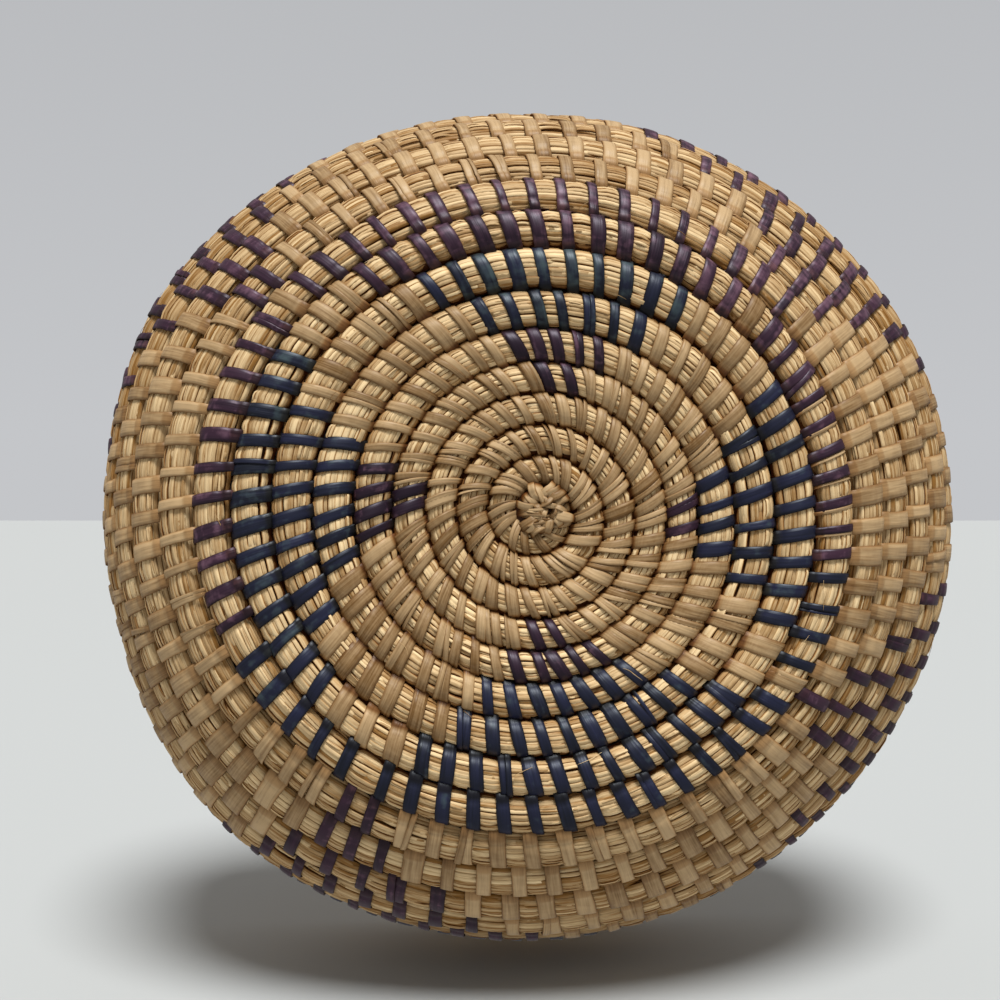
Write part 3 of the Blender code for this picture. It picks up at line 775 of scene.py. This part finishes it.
def strip_material(name, dark, light, patch_colour, patch_above, roughness, streak_depth, edge_shade_depth, shine,
                   shine_tint):
    """Dry plant fibre: streaks along each strip, a tone for each strip, and painted shade at the edges and
    in the hollows.
    """
    material = bpy.data.materials.new(name)
    material.use_nodes = True
    tree = material.node_tree
    shader = tree.nodes["Principled BSDF"]
    shader.inputs["Specular IOR Level"].default_value = shine
    shader.inputs["Specular Tint"].default_value = shine_tint

    def feed(slot, value):
        if isinstance(value, bpy.types.NodeSocket):
            tree.links.new(value, slot)
        else:
            slot.default_value = value

    def attribute(key):
        node = tree.nodes.new("ShaderNodeAttribute")
        node.attribute_name = key
        return node.outputs["Fac"]

    def maths(operation, *values):
        node = tree.nodes.new("ShaderNodeMath")
        node.operation = operation
        for slot, value in zip(node.inputs, values):
            feed(slot, value)
        return node.outputs[0]

    def weighted(*values_and_weights):
        terms = [maths("MULTIPLY", value, weight) for value, weight in values_and_weights]
        return functools.reduce(functools.partial(maths, "ADD"), terms)

    def noise(scale, detail, place=None):
        node = tree.nodes.new("ShaderNodeTexNoise")
        node.inputs["Scale"].default_value = scale
        node.inputs["Detail"].default_value = detail
        if place is not None:
            feed(node.inputs["Vector"], place)
        return node.outputs["Fac"]

    def streaks(across_scale, along_scale):
        place = tree.nodes.new("ShaderNodeCombineXYZ")
        # the tone sets each strip's streaks apart from the next one's
        scales = (("crosswise", across_scale), ("lengthwise", along_scale), ("tone", 61.0))
        for slot, (key, scale) in zip(place.inputs, scales):
            feed(slot, maths("MULTIPLY", attribute(key), scale))
        return noise(1.0, 2.0, place.outputs[0])

    def mix(share, first, second):
        node = tree.nodes.new("ShaderNodeMix")
        node.data_type = "RGBA"
        for slot, value in zip((node.inputs[0], node.inputs[6], node.inputs[7]), (share, first, second)):
            feed(slot, value)
        return node.outputs[2]

    fine = streaks(*FINE_STREAKS)
    broad = streaks(*BROAD_STREAKS)
    spots = noise(SPOTS_TO_A_METRE, 3.0)
    lightness = weighted((fine, 1.3), (broad, 1.0), (attribute("tone"), 0.75), (spots, 0.5))
    colour = mix(map_range(tree, lightness, 1.15, 2.35), dark, light)
    # patches of the patch colour: on the dyed leaf, wear of the dye and painted sheen
    patching = weighted((spots, 0.6), (broad, 0.4), (attribute("worn"), 0.2))
    colour = mix(map_range(tree, patching, patch_above, patch_above + 0.25), colour, patch_colour)
    # painted shade: a dark line along the edges of each stem and strip
    painted_edge_shade = maths("MULTIPLY", maths("POWER", attribute("edge"), EDGE_LINE_POWER), edge_shade_depth)
    painted_shade = maths("MAXIMUM", painted_edge_shade, attribute("depth"))
    # the painted shade darkens the colour, the blue and the green more than the red
    split = tree.nodes.new("ShaderNodeSeparateColor")
    joined = tree.nodes.new("ShaderNodeCombineColor")
    feed(split.inputs[0], colour)
    for channel, slot, left_over in zip(split.outputs, joined.inputs, PAINTED_SHADE_SHARES):
        feed(slot, maths("MULTIPLY", channel, maths("POWER", left_over, painted_shade)))
    feed(shader.inputs["Base Color"], joined.outputs[0])
    feed(shader.inputs["Roughness"], map_range(tree, fine, 0.0, 1.0, roughness - 0.08, roughness + 0.14))
    bump = tree.nodes.new("ShaderNodeBump")
    bump.inputs["Strength"].default_value = 1.0
    bump.inputs["Distance"].default_value = streak_depth
    feed(bump.inputs["Height"], maths("ADD", fine, maths("MULTIPLY", broad, 1.5)))
    feed(shader.inputs["Normal"], bump.outputs["Normal"])
    return material


def stitches_of(dye, start, end, seed):
    """The stitches of one dye between two turns.

    They are given as turns, widths, tilts, leans in millimetres, tones, lifts off the bundle and
    moves along it.
    """
    _, (turns, dyes) = winding()
    rng = np.random.default_rng(seed)
    at = turns[(dyes == dye) & (turns >= start) & (turns < end)]
    count = len(at)
    rough = station_value(at, UNEVEN_AT_TURNS)
    at = at + pitch_at(at) * rough * rng.uniform(-0.22, 0.22, count)
    stations = NATURAL_WIDTH_AT_TURNS if dye == NATURAL else DYED_WIDTH_AT_TURNS
    widths = station_value(at, stations) * MM * rng.uniform(0.85 - 0.2 * rough, 1.15, count)
    if dye == NATURAL:
        widths = widths * station_value(clock_of(at), WIDTH_AT_CLOCK)
    tilts = rng.uniform(-STITCH_TILT, STITCH_TILT, count) * (1.0 + rough)
    sway = (0.1 + 0.2 * rough) * rng.uniform(-1.0, 1.0, count)
    leans = station_value(at, STITCH_LEAN_AT_TURNS) * (1.0 + sway)
    tones = rng.uniform(0.0, 1.0, count) + station_value(at, PALER_AT_TURNS)
    if dye == PURPLE:
        tones = tones - station_value(at, DEEPER_PURPLE_AT_TURNS)
    # some stitches are split, or sewn over once more with a narrow strip
    often = NATURAL_DOUBLED_AT_TURNS if dye == NATURAL else DYED_DOUBLED_AT_TURNS
    doubled = rng.uniform(0.0, 1.0, count) < station_value(at, often)
    side = rng.choice((-1.0, 1.0), count)
    both = np.concatenate((np.arange(count), np.flatnonzero(doubled)))
    extra = np.arange(len(both)) >= count

    def some(low, high):
        return rng.uniform(low, high, len(both))

    lifts = np.where(extra, some(0.1, 0.3), some(0.0, 0.25) * rough[both]) * MM
    widths, tilts, leans = widths[both], tilts[both], leans[both]
    widths[:count] *= np.where(doubled, 0.8, 1.0)
    moves = np.where(extra, side[both] * widths * some(0.35, 0.6), 0.0)
    widths = widths * np.where(extra, some(0.3, 0.6), 1.0)
    leans = leans + np.where(extra, some(-1.2, 1.2), 0.0)
    tones = np.where(extra, some(0.2, 1.0), tones[both])
    return at[both], widths, tilts, leans, tones, lifts, moves


def edging_strips(purple):
    """The thin pale strips that show beside the purple stitches on one side of the foot."""
    turns, widths, tilts, leans, tones, lifts, moves = purple
    beside = (np.abs(turns - EDGING_TURN) < EDGING_REACH) & (moves == 0.0)
    moves = 0.5 * widths[beside] + EDGING_GAP
    pale = np.linspace(0.85, 1.0, beside.sum())
    return (turns[beside], np.full_like(moves, EDGING_WIDTH), tilts[beside], leans[beside], pale,
            np.zeros_like(moves), moves)


class BASKET_OT_grass(bpy.types.Operator):
    """Lay the grass stems of the whole bundle"""

    bl_idname = "basket.grass"
    bl_label = "Grass bundle"

    def execute(self, context):
        sizes = context.scene.basket_sizes
        colours = context.scene.basket_colours
        coil, (turns, _) = winding()
        lengths = coil.length_at(turns)
        straw = strip_material(
            DRESSED_GRASS, colours.grass_dark, colours.grass_light, colours.grass_light, patch_above=0.7,
            roughness=0.5, streak_depth=0.05 * MM, edge_shade_depth=0.95, shine=0.2,
            shine_tint=(1.0, 0.9, 0.75, 1.0))
        seed = 0
        for zone, nodes, ends in GRASS_ZONES:
            # a stitch covers the place where one piece of grass meets the next
            ends = [turns[np.abs(turns - turn).argmin()] if COIL_START_TURN < turn < COIL_END_TURN else turn
                    for turn in ends]
            for number, (start, end) in enumerate(zip(ends, ends[1:])):
                seed += 1
                name = f"{zone}_{number + 1}"
                grass = make_stems(name, coil, lengths, start, end, sizes, straw, seed)
                core = make_core(name + "_core", coil, start, end, straw)
                for piece in (grass, core):
                    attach(piece, "root")
                    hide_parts(*(nodes if number == 0 else nodes[-1:]))
        return {"FINISHED"}


class BASKET_OT_fibres(bpy.types.Operator):
    """Scatter the loose fibres and broken straws"""

    bl_idname = "basket.fibres"
    bl_label = "Loose fibres"

    def execute(self, context):
        coil, _ = winding()
        rng = np.random.default_rng(23)

        def some(low, high):
            return rng.uniform(low, high, (FIBRES, 1))

        share = np.linspace(-0.5, 0.5, FIBRE_POINTS)[None, :]
        near, far = coil.length_at(np.array((FIBRE_START_TURN, FIBRE_END_TURN)))
        middle = near + some(0.0, 1.0) ** 0.7 * (far - near)
        heading = rng.normal(0.0, 0.5, (FIBRES, 1)) + some(-0.6, 0.6) * share
        reach = some(*FIBRE_LENGTHS) * MM
        at = coil.at_length(middle + reach * share * np.cos(heading))
        centre, along, out, rise = coil.frame_at(at)
        half_depth, half_rise = coil.half_sizes(at)
        angle = some(-1.0, 1.0) + reach * share * np.sin(heading) / half_rise
        out_share, rise_share = rounded(angle, squareness(at))
        lift = some(*FIBRE_LIFTS) * MM * (1.0 + 0.6 * share)
        points = centre + offset((half_depth + lift) * out_share, (half_rise + lift) * rise_share, out, rise)
        wide = some(*FIBRE_WIDTHS) * MM * (1.0 - 1.2 * np.abs(share))
        tones = rng.uniform(-0.3, 0.5, FIBRES)
        piece = lay_strips(
            "loose_fibres", points, offset(out_share, rise_share, out, rise), wide, np.zeros(FIBRES), tones,
            np.zeros_like(at), context.scene.basket_sizes, bpy.data.materials[DRESSED_GRASS])
        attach(piece, "root")
        return {"FINISHED"}


def strand_nodes(dye_slot):
    """CAD strand nodes of a dye."""
    return [part["node"] for part in frame["record"]["subparts"] if part["material_slot"] == dye_slot]


class BASKET_OT_stitches(bpy.types.Operator):
    """Sew the leaf stitches in natural, navy and purple"""

    bl_idname = "basket.stitches"
    bl_label = "Leaf stitches"

    def execute(self, context):
        sizes = context.scene.basket_sizes
        colours = context.scene.basket_colours
        coil, _ = winding()
        natural = strip_material(
            DRESSED_LEAF, colours.leaf_dark, colours.leaf_light, colours.leaf_light, patch_above=0.8,
            roughness=0.44, streak_depth=0.07 * MM, edge_shade_depth=0.3, shine=0.3,
            shine_tint=(1.0, 0.93, 0.82, 1.0))
        navy = strip_material(
            "navy_leaf", colours.navy_dark, colours.navy_light, colours.navy_wear_and_sheen, patch_above=0.58,
            roughness=0.42, streak_depth=0.06 * MM, edge_shade_depth=0.3, shine=0.35,
            shine_tint=(0.85, 0.92, 1.0, 1.0))
        purple = strip_material(
            "purple_leaf", colours.purple_dark, colours.purple_light, colours.purple_wear_and_sheen, patch_above=0.56,
            roughness=0.42, streak_depth=0.06 * MM, edge_shade_depth=0.3, shine=0.35,
            shine_tint=(0.95, 0.88, 1.0, 1.0))
        finishes = ((natural, "natural_leaf"), (navy, "navy_leaf"), (purple, "purple_leaf"))
        for number, (name, dye, start, end) in enumerate(STITCH_GROUPS):
            material, slot_name = finishes[dye]
            chosen = stitches_of(dye, start, end, seed=31 + number)
            if name == "purple_stitches_lower":
                beside_purple = edging_strips(chosen)
            piece = make_stitches(name, coil, chosen, sizes, material, seed=51 + number)
            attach(piece, "root")
            if dye == NAVY:
                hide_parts(*strand_nodes("navy_leaf"))
            if name == "purple_stitches_lower":
                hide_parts(*strand_nodes("purple_leaf"))
        piece = make_stitches("pale_edging_strips", coil, beside_purple, sizes, natural, seed=77)
        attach(piece, "root")
        return {"FINISHED"}


def knot_strips(name, face, sizes, leaf, seed):
    """Strips that bind the knot, seen from below where the face is -1 and from inside where it is 1.

    Thin strands lie across the middle with some short ends, and strips fold over all around them.
    """
    rng = np.random.default_rng(seed)
    strands, folded, ends = KNOT_COUNTS
    count = sum(KNOT_COUNTS)
    share = np.linspace(-1.0, 1.0, KNOT_POINTS)[None, :]

    def some(ranges):
        kinds = zip(ranges, KNOT_COUNTS)
        return np.concatenate([rng.uniform(low, high, number) for (low, high), number in kinds])[:, None]

    turned = FULL_TURN * np.concatenate((np.arange(folded) / folded, rng.uniform(0.0, 1.0, ends)))
    turned = turned + rng.uniform(-0.18, 0.18, folded + ends)
    away = some(KNOT_AWAY)[strands:, 0]
    heading = some(KNOT_HEADING)
    heading[strands:, 0] += turned
    heading = heading + some(KNOT_BEND) * share
    middle_x = np.concatenate((rng.uniform(-1.0, 1.5, strands), away * np.cos(turned) - 1.2))[:, None] * MM
    middle_y = np.concatenate((np.linspace(-3.0, 0.6, strands), away * np.sin(turned) + 0.6))[:, None] * MM
    reach = some(KNOT_REACH) * MM
    x = middle_x + np.cos(heading) * reach * share
    y = middle_y + np.sin(heading) * reach * share
    z = (some(KNOT_HEIGHT) + some(KNOT_DIP) * np.abs(share) ** 2.4) * MM
    z = z + 0.15 * MM * smooth_noise(rng, np.tile(3.0 * share, (count, 1)), 1.0)
    points = np.stack((x, y, BASE_MIDDLE + face * (BASE_MIDDLE - z)), -1)
    normal = np.broadcast_to(np.array((0.0, 0.0, face)), points.shape)
    wide = some(KNOT_WIDTH) * MM * (1.0 - 0.3 * np.abs(share) ** 3)
    wide = wide * (1.0 + 0.2 * smooth_noise(rng, np.tile(2.0 * share, (count, 1)), 1.0))
    tilts = some(KNOT_TILT)[:, 0] * MM
    tones = rng.uniform(-0.2, 1.3, count)
    # painted shade on the strips that lie deeper in the knot
    depth = np.clip((z - KNOT_SHADE_FROM) / KNOT_SHADE_OVER, 0.0, 0.95)
    return lay_strips(name, points, normal, wide, tilts, tones, depth, sizes, leaf)


class BASKET_OT_knot(bpy.types.Operator):
    """Fold the strips of the start knot"""

    bl_idname = "basket.knot"
    bl_label = "Start knot"

    def execute(self, context):
        sizes = context.scene.basket_sizes
        leaf = bpy.data.materials[DRESSED_LEAF]
        # the knot's core is painted dark as the shade inside the knot
        corner = np.arange(KNOT_CORE_CORNERS) / KNOT_CORE_CORNERS * FULL_TURN
        ring = np.stack((np.cos(corner), np.sin(corner), np.zeros_like(corner)), -1)
        rings = np.array([[radius * MM * ring + (0.0, 0.0, z * MM) for z, radius in KNOT_CORE_RINGS]])
        pieces = (
            knot_strips("start_knot_strips", -1.0, sizes, leaf, seed=19),
            knot_strips("start_knot_strips_inside", 1.0, sizes, leaf, seed=20),
            add_mesh("start_knot_core", rings, leaf, lengthwise=corner * 5.0 * MM, crosswise=0.0, edge=0.0,
                     tone=0.0, depth=0.7),
        )
        for piece in pieces:
            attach(piece, "root")
            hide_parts("start_knot")
        return {"FINISHED"}


def plain_stage_material(name, colour, roughness):
    """A stage surface, seen from its front only."""
    material = bpy.data.materials.new(name)
    material.use_nodes = True
    tree = material.node_tree
    shader = tree.nodes["Principled BSDF"]
    shader.inputs["Base Color"].default_value = colour
    shader.inputs["Roughness"].default_value = roughness
    clear = tree.nodes.new("ShaderNodeBsdfTransparent")
    side = tree.nodes.new("ShaderNodeNewGeometry")
    choose = tree.nodes.new("ShaderNodeMixShader")
    tree.links.new(side.outputs["Backfacing"], choose.inputs[0])
    tree.links.new(shader.outputs[0], choose.inputs[1])
    tree.links.new(clear.outputs[0], choose.inputs[2])
    tree.links.new(choose.outputs[0], tree.nodes["Material Output"].inputs["Surface"])
    return material


# The view of the photograph: the base's middle is this far along the camera's right, up and back
# axes, and the basket's axis leans this much to the left and down in the picture
BASE_IN_VIEW = Vector((8.8, -2.64, -308.0)) * MM
AXIS_LEAN_RIGHT = math.radians(-3.0)
AXIS_LEAN_UP = math.radians(-3.4)
LENS_MM = 50.4
SENSOR_MM = 36.0
# Strength of the light from all around, and how wide the lamps look from the basket
ROOM_STRENGTH = 0.335
LAMP_ANGLE = math.radians(24.0)


def view_axes():
    """The row frame's axes, given along the camera's right, up and back."""
    axis = Vector((math.sin(AXIS_LEAN_RIGHT), math.sin(AXIS_LEAN_UP), 0.0))
    axis.z = -math.sqrt(1.0 - axis.length_squared)
    right = Vector((1.0, 0.0, 0.0))
    right = (right - right.dot(axis) * axis).normalized()
    up = right.cross(-axis)
    if up.y < 0.0:
        up = -up
    return -right, up, axis


class BASKET_OT_studio(bpy.types.Operator):
    """Set the camera, the floor, the table and the light"""

    bl_idname = "basket.studio"
    bl_label = "Studio"

    def execute(self, context):
        scene = context.scene
        colours = scene.basket_colours
        row_x, row_y, row_z = view_axes()
        to_row = Matrix((row_x, row_y, row_z))
        place = -(to_row @ BASE_IN_VIEW)
        camera_data = bpy.data.cameras.new("camera")
        camera_data.lens = LENS_MM
        camera_data.sensor_width = SENSOR_MM
        camera_data.clip_start = 0.01
        camera_data.clip_end = 60.0
        camera = bpy.data.objects.new("camera", camera_data)
        camera.matrix_world = Matrix.Translation(place) @ to_row.to_4x4()
        scene.collection.objects.link(camera)
        scene.camera = camera

        camera_up = to_row @ Vector((0.0, 1.0, 0.0))
        camera_back = to_row @ Vector((0.0, 0.0, 1.0))
        camera_right = to_row @ Vector((1.0, 0.0, 0.0))

        floor_mesh = bpy.data.meshes.new("floor")
        reach = 3.0
        floor_corners = [(-reach, -reach, 0), (reach, -reach, 0), (reach, reach, 0), (-reach, reach, 0)]
        floor_mesh.from_pydata(floor_corners, [], [(0, 1, 2, 3)])
        floor = bpy.data.objects.new("floor", floor_mesh)
        floor_mesh.materials.append(plain_stage_material("floor", colours.table, 0.6))

        # the table that the basket lies on its side on in the photograph
        lowest = -117.5 * MM
        corners = []
        for right, back in ((-4.0, 0.2), (4.0, 0.2), (4.0, -8.0), (-4.0, -8.0)):
            corners.append(place + camera_right * right + camera_back * back + camera_up * lowest)
        table_mesh = bpy.data.meshes.new("table")
        table_mesh.from_pydata(corners, [], [(0, 1, 2, 3)])
        table = bpy.data.objects.new("table", table_mesh)
        table_mesh.materials.append(plain_stage_material("table", colours.table, 0.6))
        for stage_piece in (floor, table):
            scene.collection.objects.link(stage_piece)
            stage_piece.visible_diffuse = stage_piece is table
            stage_piece.visible_glossy = False
            stage_piece.visible_transmission = False
            stage_piece.visible_shadow = False

        world = bpy.data.worlds.new("studio")
        scene.world = world
        world.use_nodes = True
        background = world.node_tree.nodes["Background"]
        background.inputs["Color"].default_value = colours.backdrop
        world_tree = world.node_tree
        soft = world_tree.nodes.new("ShaderNodeBackground")
        soft.inputs["Color"].default_value = colours.room_light
        soft.inputs["Strength"].default_value = ROOM_STRENGTH
        seen = world_tree.nodes.new("ShaderNodeLightPath")
        choose = world_tree.nodes.new("ShaderNodeMixShader")
        world_tree.links.new(seen.outputs["Is Camera Ray"], choose.inputs[0])
        world_tree.links.new(soft.outputs[0], choose.inputs[1])
        world_tree.links.new(background.outputs[0], choose.inputs[2])
        # the wall behind the basket darkens a little towards the top of the picture
        way = world_tree.nodes.new("ShaderNodeTexCoord")
        height = world_tree.nodes.new("ShaderNodeVectorMath")
        height.operation = "DOT_PRODUCT"
        height.inputs[1].default_value = camera_up
        world_tree.links.new(way.outputs["Generated"], height.inputs[0])
        fall = map_range(world_tree, height.outputs["Value"], 0.05, 0.36, 1.0, 0.88)
        world_tree.links.new(fall, background.inputs["Strength"])
        world_tree.links.new(choose.outputs[0], world_tree.nodes["World Output"].inputs["Surface"])

        from_above = (to_row @ Vector((0.07, 0.91, 0.408)), 4.35)
        into_the_mouth = (Vector((0.2, -0.3, 0.93)), 1.8)
        for name, (way_to_lamp, strength) in (("key", from_above), ("fill", into_the_mouth)):
            sun = bpy.data.lights.new(name, "SUN")
            sun.energy = strength
            sun.angle = LAMP_ANGLE
            lamp = bpy.data.objects.new(name, sun)
            lamp.rotation_mode = "QUATERNION"
            lamp.rotation_quaternion = way_to_lamp.to_track_quat("Z", "Y")
            lamp.visible_glossy = name == "key"
            scene.collection.objects.link(lamp)
        scene.view_settings.view_transform = "Standard"
        return {"FINISHED"}


class BASKET_PT_panel(bpy.types.Panel):
    """Panel of the basket's operators and settings"""

    bl_idname = "BASKET_PT_panel"
    bl_label = "Coiled basket"
    bl_space_type = "VIEW_3D"
    bl_region_type = "UI"
    bl_category = "Basket"

    def draw(self, context):
        layout = self.layout
        for group in (context.scene.basket_sizes, context.scene.basket_colours):
            for key in group.bl_rna.properties.keys():
                if key not in {"rna_type", "name"}:
                    layout.prop(group, key)
        for operator in OPERATORS:
            layout.operator(operator.bl_idname)


OPERATORS = (BASKET_OT_grass, BASKET_OT_stitches, BASKET_OT_knot, BASKET_OT_fibres, BASKET_OT_studio)
CLASSES = (BasketSizes, BasketColours, *OPERATORS, BASKET_PT_panel)


def register():
    """Register the classes and the settings."""
    for item in CLASSES:
        bpy.utils.register_class(item)
    bpy.types.Scene.basket_sizes = bpy.props.PointerProperty(type=BasketSizes)
    bpy.types.Scene.basket_colours = bpy.props.PointerProperty(type=BasketColours)


def unregister():
    """Take the classes and the settings away."""
    del bpy.types.Scene.basket_sizes
    del bpy.types.Scene.basket_colours
    for item in reversed(CLASSES):
        bpy.utils.unregister_class(item)


def main():
    """Build everything."""
    register()
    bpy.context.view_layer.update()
    bpy.ops.basket.grass()
    bpy.ops.basket.stitches()
    bpy.ops.basket.knot()
    bpy.ops.basket.fibres()
    bpy.ops.basket.studio()


if __name__ == "__main__":
    main()
